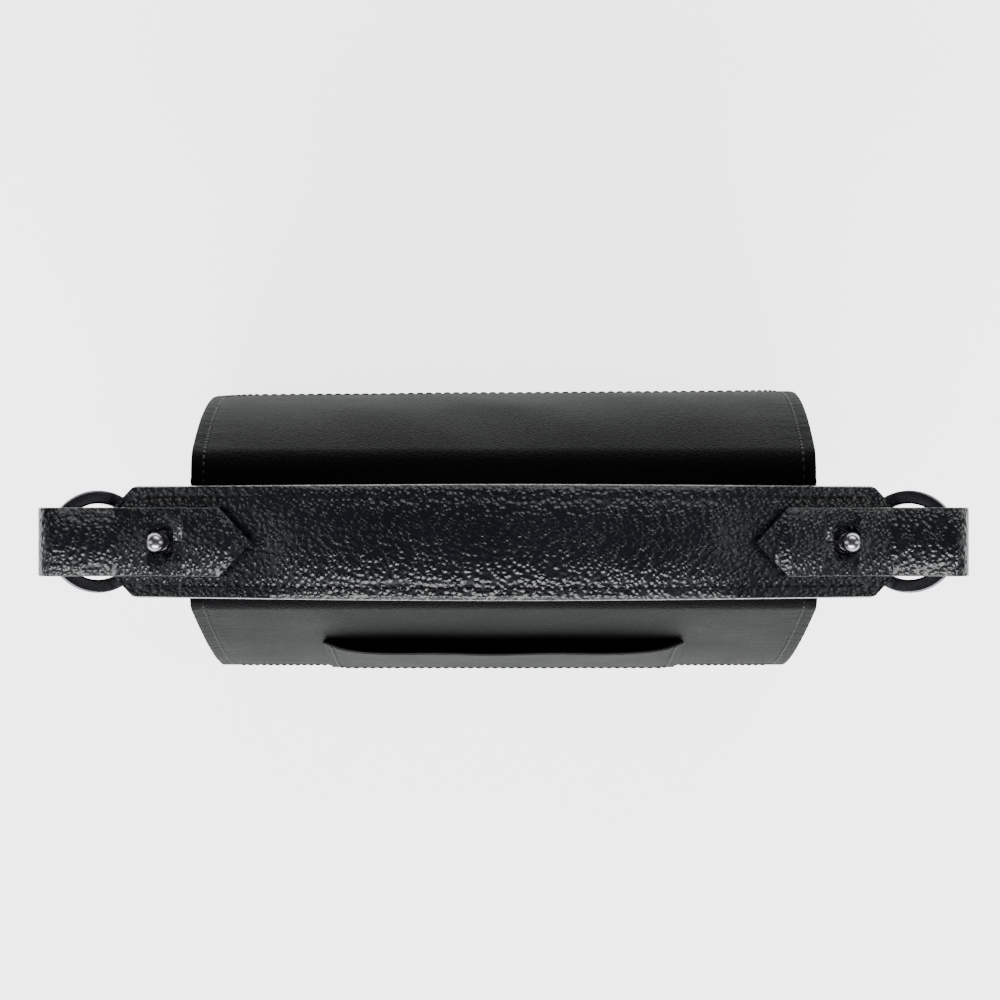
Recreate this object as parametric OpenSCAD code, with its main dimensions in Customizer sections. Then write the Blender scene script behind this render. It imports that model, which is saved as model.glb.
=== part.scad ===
// Small flap handbag: a leather body on a flat foot, a flap over the front,
// a slip pocket on the back, and a top handle on two swinging rings.
// Front is -Y, back is +Y, up is +Z, and the origin is on the floor under the middle.

/* [Body] */
// Width of the body over the side seams
body_w = 212; // [170:1:260]
// Height of the top deck above the floor
body_h = 152; // [125:1:190]
// Front-to-back depth at the foot
foot_d = 103; // [84:1:125]
// Radius where the foot turns up into the walls
foot_r = 10; // [8:1:14]
// From the middle to where the deck starts to turn down at the back
deck_back = 17.2; // [12:0.2:22]
// From the middle to where the deck starts to turn down at the front
deck_front = 20; // [16:0.5:24]
// Outer radius of the turned top edges
edge_r = 9.4; // [7:0.2:12]
// Thickness of the body leather
leather_t = 1.6; // [1.2:0.1:2.2]
// Width of the side seam that stands out past each gusset
seam_w = 4.4; // [3:0.2:6]
// Thickness of the gusset leather
gusset_t = 1.6; // [1.2:0.1:2]
// Thickness of the cloth lining
lining_t = 0.8; // [0.5:0.1:1]
// Thickness of the foot's stiff board
board_t = 2.4; // [1.5:0.1:3]
// From the deck down to the front wall's top edge
mouth_drop = 40; // [34:1:55]

/* [Flap] */
// From the body's side seam in to the flap's side edge
flap_in = 0.5; // [0:0.1:6]
// From the deck down to the flap's lower edge
flap_drop = 110; // [85:1:115]
// Corner radius of the flap's lower corners
flap_corner_r = 16; // [6:1:30]
// Thickness of the flap leather
flap_t = 1.4; // [1:0.1:1.8]
// Space that the closed flap takes up in front of the front wall
flap_space = 2.9; // [2.8:0.1:3.6]
// Radius of the two sewn-in closing magnets
magnet_r = 7; // [5:0.5:9]
// Thickness of each magnet
magnet_t = 1.1; // [0.8:0.1:1.2]
// From the flap's lower edge up to the middle of the magnets
magnet_up = 28; // [20:1:40]

/* [Pockets] */
// Width of the back pocket
pocket_w = 128; // [90:1:150]
// From the deck down to the back pocket's mouth
pocket_drop = 57; // [48:1:75]
// Height of the back pocket's bottom edge
pocket_low = 20; // [14:1:40]
// How far the back pocket's mouth gapes
pocket_gape = 6; // [5:0.1:8]
// Thickness of the back pocket's leather
pocket_t = 1.4; // [1:0.1:2]
// Width of the inside pocket
inner_w = 130; // [80:1:160]
// From the deck down to the inside pocket's mouth
inner_drop = 60; // [54:1:80]
// Height of the inside pocket's bottom edge
inner_low = 18; // [14:1:30]

/* [Rings] */
// Inside diameter of each ring
ring_id = 25.5; // [25:0.1:28]
// Width of the ring's flat band
ring_band = 4.5; // [3.5:0.1:5]
// Thickness of the ring's band
ring_t = 3; // [2.4:0.1:3.2]
// From the deck down to the ring's pivot
pivot_drop = 2; // [0:0.5:4]
// From the side seam to the ring's pivot
pivot_out = 16.6; // [14:0.2:22]
// Slope of the ring when the handle lies down
ring_tilt = 22; // [18:1:26]
// Width of the leather loop that holds the ring
chape_w = 14; // [10:0.5:16]
// Thickness of the loop's wall
chape_t = 1.6; // [1.2:0.1:2]

/* [Handle] */
// Width of the handle's wide strap
strap_w = 38.4; // [30:0.2:44]
// Handle's centre line, behind the body's middle
handle_y = 3; // [-2:0.5:4]
// Rise of the handle's arch over its ends
arch_rise = 21; // [14:1:30]
// Height of the handle's underside above the ring pivots, where the arch ends
arch_lift = 7.3; // [6.9:0.1:10]
// Half of the middle piece between the two bends
bend_x = 45; // [30:1:60]
// Thickness of the handle's backing
backing_t = 1.2; // [0.8:0.1:1.6]
// Thickness of the handle's core
core_t = 1.6; // [1:0.1:2.2]
// Thickness of the face leather over the core
face_t = 1.4; // [1:0.1:2]
// Width of the handle's core
core_w = 29; // [24.5:0.5:32]
// Width of the narrow tail
tail_w = 23; // [18:0.5:24]
// Thickness of the tail
tail_t = 2.4; // [1.8:0.1:2.6]
// Length of the tab from its bend to the tip
tab_l = 46; // [36:1:60]
// Length of the tab's point
point_l = 11.3; // [6:0.1:18]

/* [Studs] */
// Radius of the stud's ball
ball_r = 3.4; // [2.5:0.1:4]
// Radius of the stud's neck
neck_r = 1.7; // [1.2:0.1:2]
// From the tab's bend to the stud
stud_in = 15; // [12:0.1:18]
// Height of the ball's centre above the handle
ball_h = 4.7; // [4:0.1:6]
// Radius of the round hole in the tab
hole_r = 4; // [3.2:0.1:5]
// Length of the slit past the hole
slit_l = 3; // [1:0.5:5]

/* [Hidden] */

LEATHER = "#15161a";
INSIDE = "#26262a";
METAL = "#4a4a50";
LEFT = -1;
RIGHT = 1;
clear = 0.3;          // running clearance between pieces that move
fit = 0.05;           // clearance between pieces that stay together
seam_gap = 0.2;       // gap between sewn sheets whose curves are cut at different places
lean_back = 13.7;     // lean of the back wall under the deck, degrees
lean_front = 24;      // lean of the flap under the deck, degrees
foot_lean_back = 5;   // lean of the back wall above the foot, degrees
foot_lean_front = 1;  // lean of the front wall above the foot, degrees
reach_back = 0.3;     // share of the back wall that each end's lean reaches along
reach_front = 0.36;   // the same for the flap and the front wall
steps = 16;           // flat steps along each wall
turn_steps = 6;       // flat steps round each turned edge

// ---- body outline: points [y, z, normal y, normal z] from the foot up to the deck ----
half_foot = foot_d / 2;
flap_w = body_w - 2 * flap_in;
front_top = body_h - mouth_drop;
pivot_z = body_h - pivot_drop;
pocket_top = body_h - pocket_drop;
inner_top = body_h - inner_drop;
flap_low = body_h - flap_drop;
magnet_z = flap_low + magnet_up;
function turn(centre, r, from, to) = [for (i = [0:turn_steps])
  let (a = from + (to - from) * i / turn_steps)
  [centre[0] + r * cos(a), centre[1] + r * sin(a), cos(a), sin(a)]];
function foot_centre(half) = [half - foot_r, foot_r];
function top_centre(deck) = [deck, body_h - edge_r];
function at_angle(centre, r, a) = centre + r * [cos(a), sin(a)];
// control points of one wall's curve: foot, two handles, top
function wall(half, deck, foot_lean, lean, share) =
  let (low = at_angle(foot_centre(half), foot_r, foot_lean),
       high = at_angle(top_centre(deck), edge_r, lean),
       reach = norm(high - low) * share)
  [low, low + reach * [-sin(foot_lean), cos(foot_lean)],
   high + reach * [sin(lean), -cos(lean)], high];
function along(c, t) = pow(1 - t, 3) * c[0] + 3 * t * pow(1 - t, 2) * c[1]
  + 3 * t * t * (1 - t) * c[2] + pow(t, 3) * c[3];
function heading(c, t) = 3 * pow(1 - t, 2) * (c[1] - c[0])
  + 6 * t * (1 - t) * (c[2] - c[1]) + 3 * t * t * (c[3] - c[2]);
function wall_point(c, t) = let (p = along(c, t), d = heading(c, t) / norm(heading(c, t)))
  [p[0], p[1], d[1], -d[0]];
function share_at(c, z, low = 0, high = 1, tries = 24) = tries == 0 ? (low + high) / 2
  : let (mid = (low + high) / 2)
    along(c, mid)[1] < z ? share_at(c, z, mid, high, tries - 1)
                         : share_at(c, z, low, mid, tries - 1);
function wall_points(c, from = 0, to = 1) =
  [for (i = [0:steps]) wall_point(c, from + (to - from) * i / steps)];
function after_first(list) = [for (i = [1:len(list) - 1]) list[i]];
function backwards(list) = [for (i = [len(list) - 1:-1:0]) list[i]];
function inset(points, d) = [for (p = points) [p[0] - d * p[2], p[1] - d * p[3]]];
function flipped(points) = [for (p = points) [-p[0], p[1], -p[2], p[3]]];

back_wall = wall(half_foot, deck_back, foot_lean_back, lean_back, reach_back);
flap_wall = wall(half_foot, deck_front, foot_lean_front, lean_front, reach_front);
front_half = half_foot - flap_space;
front_wall = wall(front_half, deck_front - flap_space, foot_lean_front, lean_front, reach_front);
back_foot = turn(foot_centre(half_foot), foot_r, -90, foot_lean_back);
front_foot = flipped(turn(foot_centre(front_half), foot_r, -90, foot_lean_front));
back_face = wall_points(back_wall);
back_edge = turn(top_centre(deck_back), edge_r, lean_back, 90);
deck_end = [clear - deck_front, body_h, 0, 1];
deck = concat(back_face, after_first(back_edge), [deck_end]);
front_face = flipped(wall_points(front_wall, 0, share_at(front_wall, front_top)));
flap_face = wall_points(flap_wall, share_at(flap_wall, flap_low), 1);
flap_edge = turn(top_centre(deck_front), edge_r, lean_front, 90);
flap_line = flipped(concat(flap_face, after_first(flap_edge)));

// the inside of the body's walls, seen from the side, as one closed line
function side_line(d) = concat(
  inset(back_foot, d), after_first(inset(deck, d)),
  backwards(inset(front_face, d)), after_first(backwards(inset(front_foot, d))));

// ---- sideways and handle places ----
half_w = body_w / 2;
gusset_out = half_w - seam_w;
gusset_in = gusset_out - gusset_t;
lining_in = gusset_in - lining_t;
board_half = gusset_in - fit;
pivot_x = half_w + pivot_out;
ring_mid_r = (ring_id + ring_band) / 2;
ring_c = [pivot_x + ring_mid_r * cos(ring_tilt), pivot_z + ring_mid_r * sin(ring_tilt)];
ring_far = [pivot_x + 2 * ring_mid_r * cos(ring_tilt), pivot_z + 2 * ring_mid_r * sin(ring_tilt)];
strap_t = backing_t + core_t + face_t;
knee_x = pivot_x - 0.6;           // the arch ends here and the strap runs straight on
end_x = pivot_x + 7.7;            // end of the wide strap
clip_l = (strap_w - tail_w) / 2;  // length of its clipped corners
end_slope = 15;                   // slope of the strap past the knee, degrees
tab_x = pivot_x + 5.4;            // the tab bends up here
tuck_x = tab_x - stud_in - neck_r - 2;  // inner end of the tail, sewn inside the strap
core_x = tuck_x - 1;              // outer end of the core
tip_x = tab_x - tab_l;
stud_x = tab_x - stud_in;
arch_foot = pivot_z + arch_lift;

// underside of the wide strap at a distance x from the middle
function under(x) = x < knee_x ? arch_foot + arch_rise * (1 - pow(x / knee_x, 2))
  : arch_foot - (x - knee_x) * tan(end_slope);
function slope_at(x) = atan(2 * arch_rise * x / pow(knee_x, 2));
// points along the strap, seen from the front, between two heights over its underside
function ply(x0, x1, low, high, n) = concat(
  [for (i = [0:n]) let (x = x0 + (x1 - x0) * i / n) [x, under(x) + low]],
  [for (i = [n:-1:0]) let (x = x0 + (x1 - x0) * i / n) [x, under(x) + high]]);
// a ribbon of thickness t along a line of points, seen from the front
function ribbon_normal(p, i) = let (a = p[max(i - 1, 0)], b = p[min(i + 1, len(p) - 1)], d = b - a)
  [-d[1], d[0]] / norm(d);
function ribbon(p, t) = concat(
  [for (i = [0:len(p) - 1]) p[i] + t / 2 * ribbon_normal(p, i)],
  [for (i = [len(p) - 1:-1:0]) p[i] - t / 2 * ribbon_normal(p, i)]);

// the tail's run through the ring: under the ring's outer half and back over it
loop_r = max(ring_t, ring_band * 1.2) / 2 + clear + tail_t / 2;
tail_mid = backing_t + core_t / 2;
over_low = strap_t + clear + tail_t / 2;
loop_end = 102;                   // where the fold turns into the top run, degrees
ring_way = [cos(ring_tilt), sin(ring_tilt)];
below_way = [sin(ring_tilt), -cos(ring_tilt)];
ring_cross = loop_r / tan(ring_tilt + end_slope - 2);
tail_line = concat(
  [[end_x - 0.5, under(end_x - 0.5) + tail_mid], ring_c,
   ring_c + ring_cross * ring_way + loop_r * below_way],
  [for (i = [0:12]) at_angle(ring_far, loop_r, ring_tilt - 90 + (loop_end - ring_tilt + 90) * i / 12)],
  [[end_x, under(end_x) + over_low + 0.2], [tab_x + clear, under(tab_x + clear) + over_low]]);

// ---- building modules ----
module along_x(w) { rotate([90, 0, 90]) linear_extrude(height = w, center = true) children(); }
module along_y(w) {
  translate([0, handle_y, 0]) rotate([90, 0, 0]) linear_extrude(height = w, center = true) children();
}
module on_side(side) { if (side < 0) mirror([1, 0, 0]) children(); else children(); }

// a sheet that follows a line of outline points, between two depths below its surface
module sheet(points, near, far, w) {
  along_x(w) polygon(concat(inset(points, near), backwards(inset(points, far))));
}

// ---- body pieces ----
module back_panel() { color(LEATHER) sheet(deck, 0, leather_t, body_w); }

module magnet_spot(wall_line, depth) {
  p = wall_point(wall_line, share_at(wall_line, magnet_z));
  translate([0, depth * p[2] - p[0], p[1] - depth * p[3]])
    rotate([90 - atan2(p[3], p[2]), 0, 0]) children();
}

module front_panel() {
  color(LEATHER) difference() {
    sheet(front_face, 0, leather_t, body_w);
    magnet_spot(front_wall, magnet_t) cylinder(h = 3, r = magnet_r + fit, $fn = 48);
  }
}

module front_magnet() {
  color(METAL) magnet_spot(front_wall, magnet_t) translate([0, 0, fit])
    cylinder(h = magnet_t - 2 * fit, r = magnet_r, $fn = 48);
}

module base_panel() {
  color(LEATHER) along_x(body_w) polygon(concat(
    backwards(inset(back_foot, 0)), inset(front_foot, 0),
    backwards(inset(front_foot, leather_t)), inset(back_foot, leather_t)));
}

module gusset(side) {
  color(LEATHER) on_side(side) {
    translate([gusset_in + gusset_t / 2, 0, 0])
      along_x(gusset_t) polygon(side_line(leather_t));
    translate([gusset_out + seam_w / 2, 0, 0]) along_x(seam_w) difference() {
      polygon(side_line(leather_t));
      polygon(side_line(leather_t + gusset_t));
    }
  }
}

module base_board() {
  color(INSIDE) translate([-board_half, -front_half + foot_r, leather_t])
    cube([2 * board_half, front_half + half_foot - 2 * foot_r, board_t]);
}

// the part of a foot's turn above the board, as outline points
function above_board(foot) = [for (p = foot) if (p[1] - p[3] * leather_t > leather_t + board_t) p];

module lining_back() {
  color(INSIDE) sheet(concat(above_board(back_foot), after_first(deck)),
    leather_t + fit, leather_t + lining_t, 2 * (lining_in - fit));
}

module lining_front() {
  color(INSIDE) sheet(concat(above_board(front_foot), after_first(front_face)),
    leather_t + fit, leather_t + lining_t, 2 * (lining_in - fit));
}

module lining_base() {
  color(INSIDE) translate([-lining_in + fit, -front_half + foot_r, leather_t + board_t])
    cube([2 * (lining_in - fit), front_half + half_foot - 2 * foot_r, lining_t]);
}

module lining_side(side) {
  color(INSIDE) on_side(side) translate([lining_in + lining_t / 2, 0, 0])
    along_x(lining_t) difference() {
      polygon(side_line(leather_t + fit));
      translate([-foot_d, 0]) square([2 * foot_d, leather_t + board_t + fit]);
    }
}

// a patch pocket: its sheet stands off the wall by a gap that grows from the bottom to the mouth
function pocket_line(c, low, high) = wall_points(c, share_at(c, low), share_at(c, high));
function stand_off(points, base, low, high) = [for (i = [0:len(points) - 1])
  let (d = base + low + (high - low) * i / (len(points) - 1), p = points[i])
  [p[0] - d * p[2], p[1] - d * p[3]]];

module inner_pocket() {
  color(INSIDE) along_x(inner_w) polygon(concat(
    inset(pocket_line(back_wall, inner_low, inner_top), leather_t + lining_t + seam_gap),
    backwards(inset(pocket_line(back_wall, inner_low, inner_top),
      leather_t + 2 * lining_t + seam_gap))));
}

module back_pocket() {
  line = pocket_line(back_wall, pocket_low, pocket_top);
  color(LEATHER) difference() {
    along_x(pocket_w) polygon(concat(inset(line, -fit),
      backwards(stand_off(line, 0, -pocket_t, -pocket_gape - pocket_t))));
    along_x(pocket_w - 2 * pocket_t) polygon(concat(
      inset(line, 0.5), [inset(line, 0)[steps] + [0, 2]],
      [stand_off(line, 0, 0, -pocket_gape)[steps] + [0, 2]],
      backwards(stand_off(line, 0, 0, -pocket_gape))));
  }
}

// the loop that holds a ring: a patch on the gusset, a neck and a round eye
eye_r = sqrt(pow(ring_mid_r - sqrt(pow(ring_id / 2, 2) - pow(chape_w / 2, 2)), 2)
  + pow(ring_t / 2, 2)) + clear;
chape_patch_t = 2.8;
chape_low = pivot_z - 45;
chape_neck_z = pivot_z - 12;
module chape(side) {
  color(LEATHER) on_side(side) along_y(chape_w) difference() {
    union() {
      translate([gusset_out, chape_low]) square([chape_patch_t, chape_neck_z - chape_low]);
      polygon([[gusset_out, chape_neck_z - 6], [gusset_out + chape_patch_t, chape_neck_z - 4],
        [pivot_x + 1, pivot_z - eye_r - chape_t / 2], [pivot_x - eye_r, pivot_z - 0.5],
        [gusset_out + chape_patch_t - 1.5, chape_neck_z]]);
      translate([pivot_x, pivot_z]) circle(r = eye_r + chape_t, $fn = 64);
    }
    translate([pivot_x, pivot_z]) circle(r = eye_r, $fn = 64);
  }
}

// ---- flap ----
module flap_outline(w) {
  translate([0, body_h, 0]) rotate([90, 0, 0]) linear_extrude(height = 2 * body_h) union() {
    translate([-w / 2, flap_low + flap_corner_r]) square([w, body_h]);
    translate([flap_corner_r - w / 2, 0]) square([w - 2 * flap_corner_r, body_h]);
    for (x = [-1, 1]) translate([x * (w / 2 - flap_corner_r), flap_low + flap_corner_r])
      circle(r = flap_corner_r, $fn = 48);
  }
}

module flap_leather() {
  color(LEATHER) difference() {
    intersection() { sheet(flap_line, 0, flap_t, flap_w); flap_outline(flap_w); }
    magnet_spot(flap_wall, flap_t + lining_t) translate([0, 0, -magnet_t])
      cylinder(h = 2 * magnet_t, r = magnet_r + fit, $fn = 48);
  }
}

module flap_lining() {
  color(INSIDE) difference() {
    intersection() { sheet(flap_line, flap_t, flap_t + lining_t, flap_w); flap_outline(flap_w); }
    magnet_spot(flap_wall, flap_t + lining_t) translate([0, 0, -magnet_t])
      cylinder(h = 2 * magnet_t, r = magnet_r + fit, $fn = 48);
  }
}

module flap_magnet() {
  color(METAL) magnet_spot(flap_wall, flap_t + lining_t) translate([0, 0, fit])
    cylinder(h = magnet_t - 2 * fit, r = magnet_r, $fn = 48);
}

// ---- rings ----
module ring(side) {
  color(METAL) on_side(side) translate([ring_c[0], handle_y, ring_c[1]]) rotate([0, -ring_tilt, 0])
    difference() {
      cylinder(h = ring_t, r = ring_id / 2 + ring_band, center = true, $fn = 96);
      cylinder(h = ring_t + 1, r = ring_id / 2, center = true, $fn = 96);
    }
}

// ---- handle ----
module strap_outline() {
  translate([0, handle_y, 0]) linear_extrude(height = 400) polygon([
    [-end_x, -tail_w / 2], [clip_l - end_x, -strap_w / 2], [end_x - clip_l, -strap_w / 2],
    [end_x, -tail_w / 2], [end_x, tail_w / 2], [end_x - clip_l, strap_w / 2],
    [clip_l - end_x, strap_w / 2], [-end_x, tail_w / 2]]);
}

module at_stud(side) {
  on_side(side) translate([stud_x, handle_y, under(stud_x)])
    rotate([0, slope_at(stud_x), 0]) children();
}
module stud_bore(side) {
  at_stud(side) translate([0, 0, -3]) cylinder(h = 3 + strap_t + 3, r = neck_r + fit, $fn = 32);
}

module mid_ply(low, high, w) {
  along_y(w) polygon(ply(-bend_x + clear / 2, bend_x - clear / 2, low, high, 12));
}
module side_ply(x1, low, high, w) {
  intersection() {
    along_y(w) polygon(ply(bend_x + clear / 2, x1, low, high, 14));
    strap_outline();
  }
}

module handle_mid_face() {
  color(LEATHER) difference() {
    mid_ply(backing_t, strap_t, strap_w);
    mid_ply(backing_t - 1, backing_t + core_t + fit, core_w + 2 * fit);
  }
}
module handle_mid_core() { color(INSIDE) mid_ply(backing_t + fit, backing_t + core_t, core_w); }
module handle_mid_backing() { color(LEATHER) mid_ply(0, backing_t, strap_w); }

module handle_side_face(side) {
  color(LEATHER) difference() {
    on_side(side) difference() {
      side_ply(end_x, backing_t, strap_t, strap_w);
      side_ply(core_x + 0.5, backing_t - 1, backing_t + core_t + fit, core_w + 2 * fit);
      side_ply(end_x + 1, backing_t - 1, backing_t + core_t + fit, tail_w + 2 * fit);
    }
    stud_bore(side);
  }
}
module handle_side_core(side) {
  color(INSIDE) on_side(side) side_ply(core_x, backing_t + fit, backing_t + core_t - fit, core_w);
}
module handle_side_backing(side) {
  color(LEATHER) difference() {
    on_side(side) side_ply(end_x, 0, backing_t, strap_w);
    stud_bore(side);
  }
}

module tail(side) {
  color(LEATHER) difference() {
    on_side(side) {
      along_y(tail_w) polygon(ply(tuck_x, end_x, backing_t + seam_gap, backing_t + core_t - fit, 8));
      along_y(tail_w) polygon(ribbon(tail_line, tail_t));
    }
    on_side(side) along_y(strap_w) polygon(ply(knee_x, end_x + 0.1, -tail_t, backing_t + fit, 4));
    on_side(side) along_y(strap_w) polygon(ply(knee_x, end_x + 0.1, strap_t - face_t, strap_t + 0.1, 4));
    stud_bore(side);
  }
}

module tab(side) {
  n = 16;
  color(LEATHER) difference() {
    on_side(side) intersection() {
      along_y(tail_w) polygon(ply(tip_x, tab_x, strap_t + clear, strap_t + clear + tail_t, n));
      translate([0, handle_y, 0]) linear_extrude(height = 400) polygon([
        [tip_x, 0], [tip_x + point_l, -tail_w / 2], [tab_x, -tail_w / 2],
        [tab_x, tail_w / 2], [tip_x + point_l, tail_w / 2]]);
    }
    at_stud(side) {
      for (shift = [0, 1.5]) translate([-shift, 0, 0]) cylinder(h = 20, r = hole_r, $fn = 48);
      translate([-hole_r - 1.5 - slit_l, -0.3, 0]) cube([slit_l + hole_r, 0.6, 20]);
    }
  }
}

screw_r = neck_r * 0.55;
screw_head_t = 0.8;
module stud(side) {
  color(METAL) at_stud(side) difference() {
    union() {
      translate([0, 0, fit]) cylinder(h = strap_t + ball_h, r = neck_r, $fn = 32);
      translate([0, 0, strap_t + fit]) cylinder(h = 0.6, r = ball_r - 0.2, $fn = 32);
      translate([0, 0, strap_t + ball_h]) sphere(r = ball_r, $fn = 48);
    }
    cylinder(h = strap_t, r = screw_r + fit, $fn = 24);
  }
}
module stud_screw(side) {
  color(METAL) at_stud(side) {
    translate([0, 0, -screw_head_t - fit]) cylinder(h = screw_head_t, r = ball_r, $fn = 32);
    translate([0, 0, -screw_head_t / 2]) cylinder(h = strap_t, r = screw_r, $fn = 24);
  }
}

back_panel();
front_panel();
base_panel();
gusset(LEFT);  // gusset_left
gusset(RIGHT);  // gusset_right
base_board();
lining_back();
lining_front();
lining_base();
lining_side(LEFT);  // lining_left
lining_side(RIGHT);  // lining_right
inner_pocket();
back_pocket();
front_magnet();
chape(LEFT);  // chape_left
chape(RIGHT);  // chape_right
flap_leather();
flap_lining();
flap_magnet();
ring(LEFT);  // ring_left
ring(RIGHT);  // ring_right
handle_mid_face();
handle_mid_core();
handle_mid_backing();
handle_side_face(LEFT);  // handle_left_face
handle_side_core(LEFT);  // handle_left_core
handle_side_backing(LEFT);  // handle_left_backing
handle_side_face(RIGHT);  // handle_right_face
handle_side_core(RIGHT);  // handle_right_core
handle_side_backing(RIGHT);  // handle_right_backing
tail(LEFT);  // tail_left
tail(RIGHT);  // tail_right
tab(LEFT);  // tab_left
tab(RIGHT);  // tab_right
stud(LEFT);  // stud_left
stud(RIGHT);  // stud_right
stud_screw(LEFT);  // stud_screw_left
stud_screw(RIGHT);  // stud_screw_right
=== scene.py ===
import bpy
import bmesh
import math
from mathutils import Matrix, Vector


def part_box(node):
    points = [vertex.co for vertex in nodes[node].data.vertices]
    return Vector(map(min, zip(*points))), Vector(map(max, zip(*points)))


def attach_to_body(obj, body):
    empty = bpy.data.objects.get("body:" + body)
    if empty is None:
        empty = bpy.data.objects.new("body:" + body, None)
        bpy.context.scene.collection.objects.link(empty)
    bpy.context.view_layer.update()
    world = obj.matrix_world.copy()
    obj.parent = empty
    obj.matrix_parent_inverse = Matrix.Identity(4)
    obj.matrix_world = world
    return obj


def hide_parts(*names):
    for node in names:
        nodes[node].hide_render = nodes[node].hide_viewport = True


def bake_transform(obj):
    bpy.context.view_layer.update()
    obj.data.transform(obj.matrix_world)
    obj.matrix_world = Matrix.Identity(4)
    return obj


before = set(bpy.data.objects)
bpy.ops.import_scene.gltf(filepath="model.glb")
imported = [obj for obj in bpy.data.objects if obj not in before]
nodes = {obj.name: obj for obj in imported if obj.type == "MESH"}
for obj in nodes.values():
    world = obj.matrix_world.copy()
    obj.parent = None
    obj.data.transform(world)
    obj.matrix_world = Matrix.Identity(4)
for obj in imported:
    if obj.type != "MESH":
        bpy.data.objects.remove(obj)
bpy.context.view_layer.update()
MM = 0.001

# ---- sizes, read from the frame or stated in metres ----
deck_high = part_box("back_panel")[1]
flap_low, flap_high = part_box("flap_leather")
foot_low, foot_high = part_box("base_panel")
ring_low, ring_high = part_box("ring_right")
HALF_W = deck_high[0]
BODY_H = deck_high[2]
FOOT_R = 10 * MM
EDGE_R = 9.4 * MM
HALF_FOOT = foot_high[1]
FRONT_HALF = -foot_low[1]
DECK_BACK = 17.2 * MM
DECK_FRONT = 20 * MM
FLAP_SPACE = HALF_FOOT - FRONT_HALF
FLAP_T, FLAP_CORNER_R = 1.4 * MM, 16 * MM
POCKET_T, GUSSET_T, LINING_T = 1.4 * MM, 1.4 * MM, 0.7 * MM
LEAN_BACK, FOOT_LEAN_BACK, REACH_BACK = math.radians(13.7), math.radians(5), 0.3
LEAN_FRONT, FOOT_LEAN_FRONT, REACH_FRONT = math.radians(24), math.radians(1), 0.36
FRONT_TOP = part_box("front_panel")[1][2]
LEATHER_T = 1.6 * MM
SEAM = 4.4 * MM
GUSSET_X = HALF_W - SEAM
HANDLE_Y = (ring_low[1] + ring_high[1]) / 2
PIVOT_X, PIVOT_Z = HALF_W + 16.6 * MM, 150 * MM
TILT = math.radians(22)
RING_BAND, RING_T = 4.5 * MM, 3 * MM
RING_MID_R = (ring_high[1] - ring_low[1]) / 2 - RING_BAND / 2
RING_X = PIVOT_X + RING_MID_R * math.cos(TILT)
RING_Z = PIVOT_Z + RING_MID_R * math.sin(TILT)
FAR_X = PIVOT_X + 2 * RING_MID_R * math.cos(TILT)
FAR_Z = PIVOT_Z + 2 * RING_MID_R * math.sin(TILT)
STRAP_W, STRAP_T, STRAP_EDGE_T = 38.4 * MM, 4.2 * MM, 2.9 * MM
KNEE_X, END_X, BEND_X = PIVOT_X - 0.6 * MM, PIVOT_X + 7.7 * MM, 45 * MM
ARCH_FOOT, ARCH_RISE = PIVOT_Z + 7.3 * MM, 21 * MM
TAIL_W, TAIL_T = 23 * MM, 2.4 * MM
TAB_X = PIVOT_X + 5.4 * MM
TIP_X, POINT_L = TAB_X - 46 * MM, 11.3 * MM
STUD_IN = 15 * MM        # from the tab's bend to the stud
STUD_X = TAB_X - STUD_IN
LOOP_R = 4.2 * MM
EYE_R = 4.9 * MM


# ---- materials ----
def linear(hex_colour):
    parts = [int(hex_colour[i:i + 2], 16) / 255 for i in (1, 3, 5)]
    return [c / 12.92 if c <= 0.04045 else ((c + 0.055) / 1.055) ** 2.4 for c in parts] + [1]


def add_node(tree, kind, settings=None, links=None):
    """Adds a node, sets its properties and socket values, and links its inputs."""
    made = tree.nodes.new(kind)
    for key, value in (settings or {}).items():
        if isinstance(key, str) and hasattr(made, key):
            setattr(made, key, value)
        else:
            made.inputs[key].default_value = value
    for key, source in (links or {}).items():
        tree.links.new(source, made.inputs[key])
    return made


def new_material(name, settings):
    made = bpy.data.materials.new(name)
    made.use_nodes = True
    shader = made.node_tree.nodes["Principled BSDF"]
    for key, value in settings.items():
        shader.inputs[key].default_value = value
    return made, made.node_tree, shader


DOME = 0.8  # how far a grain cell rises from its creases, as a share of the cell


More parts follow.
